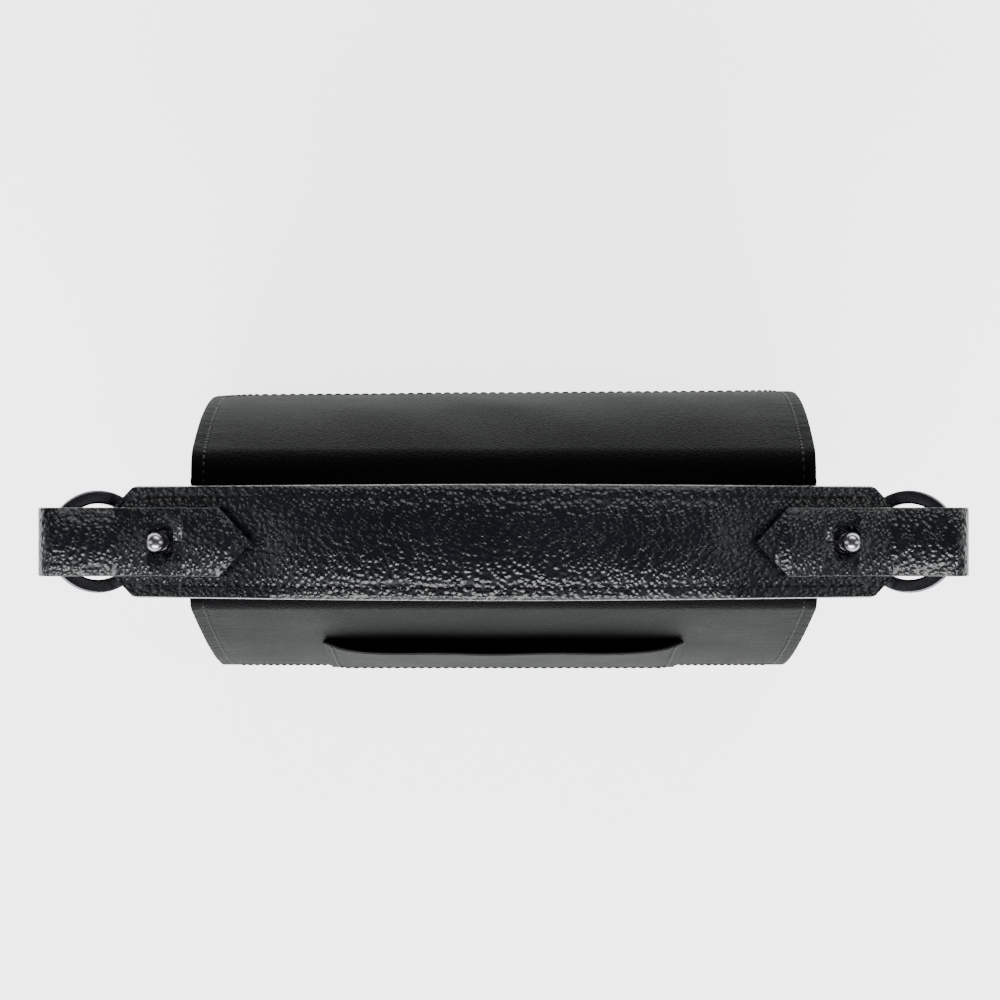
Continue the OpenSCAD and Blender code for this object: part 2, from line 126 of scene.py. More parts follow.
def grained(name, dark, light, cell, roughness, coat, depth, spread, shine=0.34, ior=1.5):
    """Leather: domed cells that meet in creases, over a slower waviness of colour and gloss."""
    made, tree, shader = new_material(name, {
        "IOR": ior, "Coat Weight": coat, "Coat Roughness": 0.3, "Specular IOR Level": shine})
    where = add_node(tree, "ShaderNodeTexCoord").outputs["Object"]
    warp = add_node(tree, "ShaderNodeTexNoise", {"Scale": 0.5 / cell, "Detail": 2.0}, {"Vector": where})
    moved = add_node(tree, "ShaderNodeVectorMath", {"operation": "MULTIPLY_ADD"}, {
        0: warp.outputs["Color"], 2: where})
    moved.inputs[1].default_value = (cell * 0.7,) * 3
    cells = add_node(tree, "ShaderNodeTexVoronoi", {
        "feature": "F1", "Scale": 1 / cell, "Randomness": 1.0},
        {"Vector": moved.outputs[0]})
    round_top = add_node(tree, "ShaderNodeMapRange", {
        "interpolation_type": "SMOOTHSTEP", "From Max": DOME, "To Min": 1.0, "To Max": 0.0},
        {"Value": cells.outputs["Distance"]})
    fine = add_node(tree, "ShaderNodeTexNoise", {
        "Scale": 3.2 / cell, "Detail": 4.0, "Roughness": 0.65}, {"Vector": where})
    slow = add_node(tree, "ShaderNodeTexNoise", {"Scale": 40.0, "Detail": 3.0}, {"Vector": where})
    height = add_node(tree, "ShaderNodeMath", {"operation": "MULTIPLY_ADD"}, {
        0: fine.outputs["Fac"], 2: round_top.outputs["Result"]})
    height.inputs[1].default_value = 0.14
    bump = add_node(tree, "ShaderNodeBump", {"Strength": 1.0, "Distance": depth},
                    {"Height": height.outputs[0]})
    colour = add_node(tree, "ShaderNodeMix", {"data_type": "RGBA"}, {"Factor": slow.outputs["Fac"]})
    colour.inputs["A"].default_value = linear(dark)
    colour.inputs["B"].default_value = linear(light)
    gloss = add_node(tree, "ShaderNodeMapRange", {
        "To Min": roughness - spread, "To Max": roughness + spread}, {"Value": slow.outputs["Fac"]})
    creased = add_node(tree, "ShaderNodeMath", {"operation": "MULTIPLY_ADD"}, {
        0: round_top.outputs["Result"], 2: gloss.outputs["Result"]})
    creased.inputs[1].default_value = -0.08
    tree.links.new(colour.outputs["Result"], shader.inputs["Base Color"])
    tree.links.new(creased.outputs[0], shader.inputs["Roughness"])
    tree.links.new(bump.outputs["Normal"], shader.inputs["Normal"])
    return made


def metal(name, colour, roughness, brushed):
    """Plated metal: polished, with a faint haze that breaks up the reflection."""
    made, tree, shader = new_material(name, {"Metallic": 1.0, "Base Color": linear(colour)})
    where = add_node(tree, "ShaderNodeTexCoord").outputs["Object"]
    haze = add_node(tree, "ShaderNodeTexNoise", {"Scale": brushed, "Detail": 3.0}, {"Vector": where})
    gloss = add_node(tree, "ShaderNodeMapRange", {
        "To Min": roughness * 0.7, "To Max": roughness * 1.4}, {"Value": haze.outputs["Fac"]})
    tree.links.new(gloss.outputs["Result"], shader.inputs["Roughness"])
    return made


def woven(name, dark, light, pitch, roughness):
    """Cloth: two crossing bands of thread, one pitch apart."""
    made, tree, shader = new_material(name, {"Specular IOR Level": 0.15})
    where = add_node(tree, "ShaderNodeTexCoord").outputs["Object"]
    across = [add_node(tree, "ShaderNodeTexWave", {
        "bands_direction": way, "Scale": 0.31 / pitch, "Distortion": 0.6, "Detail": 1.0},
        {"Vector": where}) for way in ("X", "Z")]
    height = add_node(tree, "ShaderNodeMath", {"operation": "MAXIMUM"}, {
        0: across[0].outputs["Fac"], 1: across[1].outputs["Fac"]})
    colour = add_node(tree, "ShaderNodeMix", {"data_type": "RGBA"}, {"Factor": height.outputs[0]})
    colour.inputs["A"].default_value = linear(dark)
    colour.inputs["B"].default_value = linear(light)
    bump = add_node(tree, "ShaderNodeBump", {"Distance": pitch * 0.3}, {"Height": height.outputs[0]})
    shader.inputs["Roughness"].default_value = roughness
    tree.links.new(colour.outputs["Result"], shader.inputs["Base Color"])
    tree.links.new(bump.outputs["Normal"], shader.inputs["Normal"])
    return made


# full-grain calf, embossed with a pebble and lightly glazed
pebbled_leather = grained(
    "pebbled_calf", "#030509", "#060a12", 1.7 * MM, 0.3, 0.1, 0.32 * MM, 0.05, shine=0.4)
# the same hide, milled: a fine grain with a dull face
body_leather = grained(
    "milled_calf", "#050506", "#08080a", 0.9 * MM, 0.6, 0.0, 0.2 * MM, 0.05, shine=0.06, ior=1.25)
# painted and burnished leather edge, smoother and glossier than the face
edge_paint = grained(
    "painted_edge", "#040507", "#090a0c", 1.6 * MM, 0.4, 0.0, 0.03 * MM, 0.03, shine=0.2, ior=1.35)
# bonded polyester thread, waxed
thread = woven("waxed_thread", "#030304", "#0b0b0e", 0.35 * MM, 0.5)
# fine cotton twill
lining_cloth = woven("cotton_lining", "#1b1c20", "#2b2c32", 0.7 * MM, 0.85)
# black nickel plating over turned and polished brass
black_nickel = metal("black_nickel", "#4c4c51", 0.24, 900.0)
# the stud's black nickel is lighter than the ring's: painted sheen standing in for the light the ball
# catches
stud_nickel_painted_sheen = metal("black_nickel_painted_sheen", "#98979c", 0.24, 700.0)
nickel = metal("nickel_plate", "#a3a3a6", 0.25, 600.0)
# bonded leather fibre and bag board, hidden inside
fibre_board = grained("fibre_board", "#3a352f", "#4a443c", 0.8 * MM, 0.85, 0.0, 0.05 * MM, 0.02)


# ---- lines to build along ----
class Line:
    """A line through points in a plane: at(share) gives the place and the normal to its left."""

    def __init__(self, points):
        self.points = [Vector(p) for p in points]
        self.lengths = [0.0]
        for a, b in zip(self.points, self.points[1:]):
            self.lengths.append(self.lengths[-1] + (b - a).length)
        self.length = self.lengths[-1]

    def spot(self, share):
        want = min(max(share, 0), 1) * self.length
        i = 0
        while i < len(self.points) - 2 and self.lengths[i + 1] < want:
            i += 1
        span = self.lengths[i + 1] - self.lengths[i]
        return self.points[i].lerp(self.points[i + 1], (want - self.lengths[i]) / span)

    def at(self, share):
        step = 0.8 * MM / self.length
        ahead = self.spot(share + step) - self.spot(share - step)
        ahead.normalize()
        return self.spot(share), Vector((-ahead.y, ahead.x))


def turned(centre, r, start, stop, n=10):
    return [(centre[0] + r * math.cos(start + (stop - start) * i / n),
             centre[1] + r * math.sin(start + (stop - start) * i / n)) for i in range(n + 1)]


def wall(half, deck, foot_lean, lean, share, n=40):
    """The curve of one wall in the side view, from above the foot to under the deck."""
    low = Vector(turned((half - FOOT_R, FOOT_R), FOOT_R, 0, foot_lean, 1)[1])
    high = Vector(turned((deck, BODY_H - EDGE_R), EDGE_R, 0, lean, 1)[1])
    reach = (high - low).length * share
    a = low + reach * Vector((-math.sin(foot_lean), math.cos(foot_lean)))
    b = high + reach * Vector((math.sin(lean), -math.cos(lean)))
    return [tuple((1 - t) ** 3 * low + 3 * t * (1 - t) ** 2 * a + 3 * t * t * (1 - t) * b + t ** 3 * high)
            for t in (i / n for i in range(n + 1))]


def mirrored(points):
    return [(-y, z) for y, z in points]


back_points = wall(HALF_FOOT, DECK_BACK, FOOT_LEAN_BACK, LEAN_BACK, REACH_BACK)
back_edge = turned((DECK_BACK, BODY_H - EDGE_R), EDGE_R, LEAN_BACK, math.pi / 2)
flap_points = wall(HALF_FOOT, DECK_FRONT, FOOT_LEAN_FRONT, LEAN_FRONT, REACH_FRONT)
flap_edge = turned((DECK_FRONT, BODY_H - EDGE_R), EDGE_R, LEAN_FRONT, math.pi / 2)
front_points = wall(FRONT_HALF, DECK_FRONT - FLAP_SPACE, FOOT_LEAN_FRONT, LEAN_FRONT, REACH_FRONT)
foot_back = turned((HALF_FOOT - FOOT_R, FOOT_R), FOOT_R, -math.pi / 2, FOOT_LEAN_BACK)
foot_front = turned((FRONT_HALF - FOOT_R, FOOT_R), FOOT_R, -math.pi / 2, FOOT_LEAN_FRONT)


def between(points, low, high):
    """The stretch of a wall's points between two heights."""
    line = Line(points)
    n = 60
    kept = [line.spot(i / n) for i in range(n + 1)]
    return [tuple(p) for p in kept if low <= p.y <= high]


# ---- pieces ----
MIDDLE = Vector((0, 0, BODY_H / 2))


def finish_mesh(bm, name, materials, sharp=0.7, recalculate=True):
    if recalculate:
        bmesh.ops.recalc_face_normals(bm, faces=bm.faces)
    for face in bm.faces:
        face.smooth = True
    for edge in bm.edges:
        if len(edge.link_faces) == 2 and edge.calc_face_angle(0) > sharp:
            edge.smooth = False
    mesh = bpy.data.meshes.new(name)
    bm.to_mesh(mesh)
    bm.free()
    made = bpy.data.objects.new(name, mesh)
    bpy.context.scene.collection.objects.link(made)
    for m in materials:
        mesh.materials.append(m)
    return made


def sheet_piece(name, place, across, up, thick, materials):
    """A flexible sheet: a grid laid by place(u, v), then given its thickness inwards with a painted rim."""
    bm = bmesh.new()
    bmesh.ops.create_grid(bm, x_segments=across, y_segments=up, size=0.5)
    for v in bm.verts:
        v.co = place(v.co.x + 0.5, v.co.y + 0.5)
    bmesh.ops.recalc_face_normals(bm, faces=bm.faces)
    outward = sum(f.normal.dot(f.calc_center_median() - MIDDLE) * f.calc_area() for f in bm.faces)
    if outward < 0:
        bmesh.ops.reverse_faces(bm, faces=bm.faces)
    made = finish_mesh(bm, name, materials, sharp=3, recalculate=False)
    body = made.modifiers.new("thickness", "SOLIDIFY")
    body.thickness = thick
    body.offset = -1
    body.use_quality_normals = True
    body.material_offset_rim = len(materials) - 1
    return made


def sweep(name, rings, materials, round_trip=False, sharp=0.7):
    """A tube of any section: the first ring is drawn, then extruded from ring to ring and capped."""
    bm = bmesh.new()
    ring = [bm.verts.new(p) for p in rings[0]]
    edges = [bm.edges.new((ring[i], ring[(i + 1) % len(ring)])) for i in range(len(ring))]
    if not round_trip:
        bm.faces.new(ring)
    for points in rings[1:]:
        grown = bmesh.ops.extrude_edge_only(bm, edges=edges)["geom"]
        fresh = {g for g in grown if isinstance(g, bmesh.types.BMVert)}
        ring = [next(e.other_vert(v) for e in v.link_edges if e.other_vert(v) in fresh) for v in ring]
        for v, p in zip(ring, points):
            v.co = p
        edges = [bm.edges.get((ring[i], ring[(i + 1) % len(ring)])) for i in range(len(ring))]
    if round_trip:
        bmesh.ops.remove_doubles(bm, verts=bm.verts, dist=0.001 * MM)
    else:
        bm.faces.new(ring)
    return finish_mesh(bm, name, materials, sharp)


def strap_section(width, thick, edge_thick, n=14):
    """Half-round edges and a crowned top: points (across, up) of a strap lying flat."""
    top = []
    for i in range(n + 1):
        a = -1 + 2 * i / n
        crown = edge_thick + (thick - edge_thick) * (1 - abs(a) ** 2.6)
        top.append((a * (width / 2 - 0.5 * MM), crown))
    side = [(width / 2, edge_thick * 0.7), (width / 2, edge_thick * 0.25), (width / 2 - 0.4 * MM, 0)]
    return top + side + [(-a, z) for a, z in reversed(side)]


def stitches(name, spots, size=0.52 * MM, long=0.74):
    """A row of stitches: spots are (place, along, up), one pitch apart."""
    bm = bmesh.new()
    for (place, _, up), (beyond, _, _) in zip(spots, spots[1:]):
        reach = (beyond - place).length
        if reach > 5 * MM:
            continue
        mid = (place + beyond) / 2
        along = (beyond - place).normalized()
        aside = up.cross(along).normalized()
        turn = Matrix((along, aside, up)).transposed().to_4x4()
        bmesh.ops.create_uvsphere(bm, u_segments=6, v_segments=4, radius=1, matrix=(
            Matrix.Translation(mid) @ turn @ Matrix.Diagonal((reach * long / 2, size, size * 0.8, 1))
            @ Matrix.Rotation(math.pi / 2, 4, "Y")))
    return finish_mesh(bm, name, [thread])


def lathe(name, profile, place, turn, materials, n=40):
    """A turned piece: its outline (radius, height) is spun round its own axis, then put in place."""
    bm = bmesh.new()
    chain = [bm.verts.new((r, 0, z)) for r, z in profile]
    edges = [bm.edges.new(pair) for pair in zip(chain, chain[1:])]
    bmesh.ops.spin(bm, geom=chain + edges, cent=(0, 0, 0), axis=(0, 0, 1), angle=2 * math.pi,
                   steps=n, use_merge=True)
    bmesh.ops.remove_doubles(bm, verts=bm.verts, dist=0.002 * MM)
    bmesh.ops.transform(bm, matrix=Matrix.Translation(place) @ turn, verts=bm.verts)
    return finish_mesh(bm, name, materials, 0.5)


def attach(made, body, replaced=()):
    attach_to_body(made, body)
    if replaced:
        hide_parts(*replaced)
    return made


# ---- body ----
def ripple(a, b):
    """A slow, uneven waviness between -1 and 1, the same on every run."""
    return (math.sin(a * 31 + 1.3) * math.cos(b * 47 + 0.4) + 0.6 * math.sin(a * 67 + b * 53 + 2.1)) / 1.6


def seam_pull(x, half, along):
    """How far leather sinks at the side stitching, with a pucker between stitches."""
    away = (half - abs(x)) / MM
    groove = math.exp(-((away - 4.2) / 1.1) ** 2)
    pucker = math.exp(-(away / 11) ** 2) * (0.5 + 0.5 * math.sin(along * 420 + ripple(along * 7, x) * 5))
    return (0.45 * groove + 0.16 * pucker) * MM


def spread(u, half):
    """Grid columns drawn closer together towards the side seams."""
    t = 2 * u - 1
    return half * (0.55 * t + 0.45 * math.sin(t * math.pi / 2))


JOIN_Y = 2 * MM
back_line = Line(back_points + back_edge[1:] + [(JOIN_Y, BODY_H)])
flap_outline = mirrored(between(flap_points, flap_low[2], BODY_H) + flap_edge[1:])
flap_line = Line([(JOIN_Y, BODY_H)] + flap_outline[::-1])
front_line = Line(mirrored(between(front_points, 0, FRONT_TOP)))
base_line = Line(foot_back[::-1] + mirrored(foot_front))


def back_surface(x, v):
    place, normal = back_line.at(v)
    mid = 1 - (x / HALF_W) ** 2
    hang = math.sin(min(v / 0.78, 1) * math.pi)
    out = (0.35 * MM * ripple(x * 2, place.y) - 0.15 * MM) * mid * hang - seam_pull(x, HALF_W, place.y)
    return Vector((x, place.x - normal.x * out, place.y - normal.y * out))


def flap_half(z):
    """Half width of the flap at a height: its lower corners are rounded."""
    corner = FLAP_CORNER_R
    up = z - flap_low[2]
    if up >= corner:
        return flap_high[0]
    return flap_high[0] - corner + math.sqrt(max(corner ** 2 - (corner - up) ** 2, 0))


MAGNET_Z = (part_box("flap_magnet")[0][2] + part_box("flap_magnet")[1][2]) / 2


def flap_surface(x, v):
    place, normal = flap_line.at(v)
    mid = 1 - (x / HALF_W) ** 2
    drop = max(0, (v - 0.17) / 0.83)
    lean = max(-1 * MM, 1.3 * MM * -x / HALF_W) * math.sin(drop * math.pi * 0.8)
    out = (0.9 * MM * ripple(x * 1.7 + 0.3, place.y) + 0.5 * MM) * mid * math.sin(drop * math.pi)
    beside_magnet = 1 - math.exp(-(x ** 2 + (place.y - MAGNET_Z) ** 2) / (24 * MM) ** 2)
    out = (out + lean) * beside_magnet - seam_pull(x, flap_half(place.y), place.y) * min(drop * 8, 1)
    return Vector((x, place.x - normal.x * out, place.y - normal.y * out))


def front_surface(x, v):
    place, normal = front_line.at(v)
    out = -seam_pull(x, HALF_W, place.y) - 0.5 * MM * math.sin(v * math.pi) * (1 - (x / HALF_W) ** 2)
    return Vector((x, place.x + normal.x * out, place.y + normal.y * out))


def base_surface(x, v):
    place, _ = base_line.at(v)
    return Vector((x, place.x, place.y))


def height_at(points, z):
    """The first coordinate of a rising line of points at a height."""
    for (y0, z0), (y1, z1) in zip(points, points[1:]):
        if z0 <= z <= z1:
            return y0 + (y1 - y0) * (z - z0) / max(z1 - z0, 1e-9)
    return points[-1][0] if z > points[-1][1] else points[0][0]


def gusset_place(side):
    """A side wall that dishes inwards, with its seam margins turned out along its edges."""
    back_side = foot_back + back_points[1:] + back_edge[1:]
    front_side = foot_front + between(front_points, 0, FRONT_TOP)[1:] + [(18 * MM, BODY_H - LEATHER_T)]
    margin_u, margin_v = 0.06, 0.05

    def place(u, v):
        turned_out = max(0, 1 - u / margin_u, (u - 1 + margin_u) / margin_u, 1 - v / margin_v)
        inner_u = min(max((u - margin_u) / (1 - 2 * margin_u), 0), 1)
        inner_v = min(max((v - margin_v) / (1 - margin_v), 0), 1)
        z = 1.7 * MM + inner_v * (BODY_H - 3.5 * MM)
        y_back = height_at(back_side, z) - 1.75 * MM
        y_front = -height_at(front_side, z) + 1.75 * MM
        y = y_front + (y_back - y_front) * inner_u
        fold = math.exp(-((inner_u - 0.5) / 0.16) ** 2) * (1 - inner_v) ** 0.5
        across = math.sin(inner_u * math.pi)
        dish = 1.6 * MM * across ** 0.7 * math.sin(min(inner_v * 1.2, 1) * math.pi) ** 0.8
        x = GUSSET_X - dish * (1 - 0.5 * fold) + 0.35 * MM * ripple(y * 2, z * 2) * across
        x += (SEAM - 0.2 * MM) * min(turned_out, 1) ** 0.8
        return Vector((side * x, y, z))
    return place


POCKET_HALF, POCKET_LOW, POCKET_TOP = 64 * MM, 20 * MM, 95 * MM
pocket_line = Line(between(back_points, POCKET_LOW, POCKET_TOP))


def pocket_surface(x, v):
    """The slip pocket: sewn down at its sides and bottom, standing off in a shallow lens at its mouth."""
    place, normal = pocket_line.at(v)
    side = abs(x) / POCKET_HALF
    off = 0.4 * MM + 4.2 * MM * v ** 1.5 * max(0, 1 - side ** 8)
    off += 0.5 * MM * ripple(x * 2.2, v * 0.1) * (1 - side ** 2) * v - 0.25 * MM * (side > 0.93)
    out = off + POCKET_T
    return Vector((x, place.x - normal.x * out, place.y - normal.y * out))


def over(surface, half):
    """Turns a surface over (x, v) into one over (u, v) whose columns close up near the seams."""
    return lambda u, v: surface(spread(u, half(v)), v)


def inside(surface, depth):
    """The same surface moved inwards by a depth, for a lining."""
    def moved(x, v):
        place = surface(x, v)
        across = surface(x + 0.5 * MM, v) - surface(x - 0.5 * MM, v)
        along = surface(x, min(v + 0.004, 1)) - surface(x, max(v - 0.004, 0))
        inward = across.cross(along).normalized()
        if inward.dot(place - MIDDLE) > 0:
            inward = -inward
        return place + inward * depth
    return moved


leathers = [body_leather, edge_paint]
attach(sheet_piece("back_and_deck", over(back_surface, lambda v: HALF_W), 110, 140, LEATHER_T, leathers),
       "bag", ["back_panel"])
attach(sheet_piece("front_wall", over(front_surface, lambda v: HALF_W), 110, 60, LEATHER_T, leathers),
       "bag", ["front_panel"])
attach(sheet_piece("foot", over(base_surface, lambda v: HALF_W), 60, 60, LEATHER_T, leathers),
       "bag", ["base_panel"])
attach(sheet_piece("slip_pocket", over(pocket_surface, lambda v: POCKET_HALF), 90, 50, POCKET_T, leathers),
       "bag", ["back_pocket"])
flap = sheet_piece("flap", over(flap_surface, lambda v: flap_half(flap_line.at(v)[0].y)),
                   110, 150, FLAP_T, leathers)


def across_hinge(made, replaced=()):
    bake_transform(made)
    if replaced:
        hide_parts(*replaced)


across_hinge(flap, ["flap_leather"])
flap_cloth = sheet_piece("flap_lining_cloth", over(inside(flap_surface, 1.42 * MM), lambda v: max(
    flap_half(flap_line.at(v)[0].y) - 1.2 * MM, 4 * MM)), 80, 110, LINING_T, [lining_cloth])
across_hinge(flap_cloth, ["flap_lining"])
for side, word in ((-1, "left"), (1, "right")):
    attach(sheet_piece("side_wall_" + word, gusset_place(side), 60, 80, GUSSET_T, leathers),
           "bag", ["gusset_" + word])


# ---- stitching on the body ----
def sewn(surface, corners, pitch, lift=0.1 * MM):
    """Evenly spaced places along a line on a surface, with the way out of the leather at each."""
    dense = []
    for (x0, v0), (x1, v1) in zip(corners, corners[1:]):
        dense += [(x0 + (x1 - x0) * i / 160, v0 + (v1 - v0) * i / 160) for i in range(160)]
    spots, gone, last = [], 0, None
    for x, v in dense:
        place = surface(x, v)
        if last is not None:
            gone += (place - last).length
        if last is None or gone >= pitch:
            du = surface(x + 0.3 * MM, v) - surface(x - 0.3 * MM, v)
            dv = surface(x, min(v + 0.004, 1)) - surface(x, max(v - 0.004, 0))
            up = du.cross(dv).normalized()
            if up.dot(place - MIDDLE) < 0:
                up = -up
            spots.append((place + up * lift, du.normalized(), up))
            gone = 0
        last = place
    return spots


STITCH = 2.5 * MM
IN = 4.2 * MM
for side, word in ((-1, "left"), (1, "right")):
    x = side * (HALF_W - IN)
    attach(stitches("back_seam_" + word, sewn(back_surface, [(x, 0.01), (x, 0.99)], STITCH)),
           "bag")
    attach(stitches("front_seam_" + word, sewn(front_surface, [(x, 0.02), (x, 0.98)], STITCH)),
           "bag")
low_flap_v = 1 - IN / flap_line.length
bend_v = 1 - 18 * MM / flap_line.length
flap_side_x = flap_high[0] - IN
corner_turn = [(flap_side_x - 12 * MM * (1 - math.cos(a)), bend_v + (low_flap_v - bend_v) * math.sin(a))
               for a in (math.pi / 2 * i / 6 for i in range(7))]
other_turn = [(-x, v) for x, v in corner_turn[::-1]]
flap_path = [(flap_side_x, 0.02)] + corner_turn + other_turn + [(-flap_side_x, 0.02)]
across_hinge(stitches("flap_seam", sewn(flap_surface, flap_path, STITCH)))
attach(stitches("pocket_seam", sewn(pocket_surface, [
    (-POCKET_HALF + 3 * MM, 0.98), (-POCKET_HALF + 3 * MM, 0.05), (POCKET_HALF - 3 * MM, 0.05),
    (POCKET_HALF - 3 * MM, 0.98)], STITCH)), "bag")
attach(stitches("foot_seam_back", sewn(back_surface, [(-HALF_W + IN, 0.02), (HALF_W - IN, 0.02)], STITCH)),
       "bag")
attach(stitches("foot_seam_front", sewn(front_surface, [(-HALF_W + IN, 0.03), (HALF_W - IN, 0.03)], STITCH)),
       "bag")
attach(stitches("front_lip_seam", sewn(front_surface, [(-HALF_W + IN, 0.96), (HALF_W - IN, 0.96)], STITCH)),
       "bag")


# ---- rings, loops and studs ----
def strap_rings(line, section, side, width_at=None, crown_at=None, n=90, shares=None):
    """Rings of a strap's section along a line seen from the front; the left side is a mirror image."""
    rings = []
    for share in shares or [i / n for i in range(n + 1)]:
        place, normal = line.at(share)
        wide = width_at(share) if width_at else 1
        high = crown_at(share) if crown_at else 1
        rings.append([Vector((side * (place.x + normal.x * z * high), HANDLE_Y + y * wide,
                              place.y + normal.y * z * high)) for y, z in section])
    return rings


def centred(section, thick):
    return [(y, z - thick / 2) for y, z in section]


def rounded_box(low_r, high_r, half_t, corner, n=4):
    """The section of a flat ring, with small round edges."""
    points = []
    for cx, cz, start in ((high_r - corner, half_t - corner, 0), (low_r + corner, half_t - corner, 90),
                          (low_r + corner, corner - half_t, 180), (high_r - corner, corner - half_t, 270)):
        for i in range(n + 1):
            a = math.radians(start + 90 * i / n)
            points.append((cx + corner * math.cos(a), cz + corner * math.sin(a)))
    return points + [points[0]]


for side, word in ((-1, "left"), (1, "right")):
    ring = lathe("strap_ring_" + word,
                 rounded_box(RING_MID_R - RING_BAND / 2, RING_MID_R + RING_BAND / 2, RING_T / 2, 0.7 * MM),
                 Vector((side * RING_X, HANDLE_Y, RING_Z)), Matrix.Rotation(-side * TILT, 4, "Y"),
                 [black_nickel], n=96)
    attach(ring, "ring_" + word, ["ring_" + word])
    eye = [(PIVOT_X + (EYE_R + 0.85 * MM) * math.cos(math.radians(a)),
            PIVOT_Z + (EYE_R + 0.85 * MM) * math.sin(math.radians(a))) for a in range(-80, 221, 12)]
    patch_x = GUSSET_X + 0.9 * MM
    chape_line = Line([(patch_x, 105 * MM), (patch_x, 132 * MM), (patch_x + 1.2 * MM, 136.5 * MM),
                       (patch_x + 5 * MM, 139.5 * MM)] + eye + [(patch_x + 7 * MM, 142.6 * MM),
                       (patch_x + 2.6 * MM, 139.6 * MM), (patch_x + 1.8 * MM, 134 * MM),
                       (patch_x + 1.6 * MM, 110 * MM)])
    chape = sweep("ring_loop_" + word, strap_rings(
        chape_line, centred(strap_section(14 * MM, 1.5 * MM, 1.2 * MM, 8), 1.5 * MM), side, n=110),
        [body_leather], sharp=1.2)
    attach(chape, "bag", ["chape_" + word])


# ---- handle ----
def under(x):
    x = abs(x)
    if x < KNEE_X:
        return ARCH_FOOT + ARCH_RISE * (1 - (x / KNEE_X) ** 2)
    return ARCH_FOOT - (x - KNEE_X) * math.tan(math.radians(15))


def eased(a):
    a = min(max(a, 0), 1)
    return a * a * (3 - 2 * a)


CLIP = 7 * MM            # length of the strap's clipped corners
SEAM_IN = 3.9 * MM       # from the strap's edge in to its stitching
HANDLE_STITCH = 2.7 * MM
strap_line = Line([(x, under(x)) for x in (END_X * i / 120 for i in range(121))])


def strap_half(x):
    """Half the strap's width at a distance from the middle, with its clipped ends."""
    full = STRAP_W / 2 - 0.5 * MM * eased(abs(x) / END_X)
    past = abs(x) - (END_X - CLIP)
    return full if past <= 0 else full - past * (full - TAIL_W / 2) / CLIP


def crown(x, across):
    """Thickness of the strap: padded and crowned in the middle, flat where the tab lies on it."""
    flat = eased((abs(x) - 66 * MM) / (16 * MM))
    full = 5.6 * MM + (STRAP_T - 5.6 * MM) * flat
    edge = STRAP_EDGE_T + (STRAP_T - 0.5 * MM - STRAP_EDGE_T) * flat
    groove = 0.35 * MM * math.exp(-((1 - abs(across)) * STRAP_W / 2 - SEAM_IN) ** 2 / MM ** 2)
    return edge + (full - edge) * (1 - abs(across) ** 2.4) - groove


def handle_rings(side):
    rings = []
    count = 96
    for i in range(count + 1):
        share = i / count
        place, normal = strap_line.at(share)
        half = strap_half(place.x)
        fractions = [-1 + 2 * k / 26 for k in range(27)]
        section = [(a * (half - 0.35 * MM), crown(place.x, a)) for a in fractions]
        low = [(half, 1.9 * MM), (half + 0.05 * MM, 1.2 * MM), (half, 0.5 * MM), (half - 0.5 * MM, 0)]
        section += low + [(-a, z) for a, z in reversed(low)]
        rings.append([Vector((side * (place.x + normal.x * z), HANDLE_Y + y, place.y + normal.y * z))
                      for y, z in section])
    return rings


def handle_top(side):
    def surface(x, across):
        place = Vector((x, under(x)))
        slope = (under(x + 0.5 * MM) - under(x - 0.5 * MM)) / MM if x > MM else 0
        normal = Vector((-slope, 1)).normalized()
        high = crown(x, across)
        return Vector((side * (place.x + normal.x * high), HANDLE_Y + across * strap_half(x),
                       place.y + normal.y * high))
    return surface


# the tail: out of the strap, down through the ring, round its far side, back over the strap to the tip
way = Vector((math.cos(TILT), math.sin(TILT)))
below = Vector((math.sin(TILT), -math.cos(TILT)))
ring_centre = Vector((RING_X, RING_Z))
loop_centre = Vector((FAR_X, FAR_Z))
cross = LOOP_R / math.tan(TILT + math.radians(13))
tail_points = [Vector((END_X - 3 * MM, under(END_X - 3 * MM) + 2 * MM)), ring_centre,
               ring_centre + cross * way + LOOP_R * below]
tail_points += [Vector(p) for p in turned(loop_centre, LOOP_R, TILT - math.pi / 2, math.radians(102), 24)]
ON_TOP = STRAP_T + 0.3 * MM + TAIL_T / 2
tail_points += [Vector((END_X, under(END_X) + ON_TOP + 0.3 * MM))]
for k in range(1, 41):
    x = END_X + (TIP_X - END_X) * k / 40
    slope = (under(x + 0.5 * MM) - under(x - 0.5 * MM)) / MM
    tail_points.append(Vector((x, under(x))) + Vector((-slope, 1)).normalized() * ON_TOP)
tail_line = Line(tail_points)


def rounded_line(line, n, rounds):
    """The same line, evenly spaced, with its corners eased."""
    points = [line.spot(i / n) for i in range(n + 1)]
    for _ in range(rounds):
        inner = [(a + 2 * b + c) / 4 for a, b, c in zip(points, points[1:], points[2:])]
        points = [points[0]] + inner + [points[-1]]
    return Line(points)


tail_line = rounded_line(tail_line, 150, 3)
POINT_SHARE = POINT_L / tail_line.length


def tail_width(share):
    tip = (1 - share) / POINT_SHARE
    return 1 if tip >= 1 else max(tip, 0.012)


TAB_SEAM_IN = 3.2 * MM    # from the tab's edge in to its stitching
tail_section = centred(strap_section(TAIL_W, TAIL_T, 1.7 * MM, 18), TAIL_T)


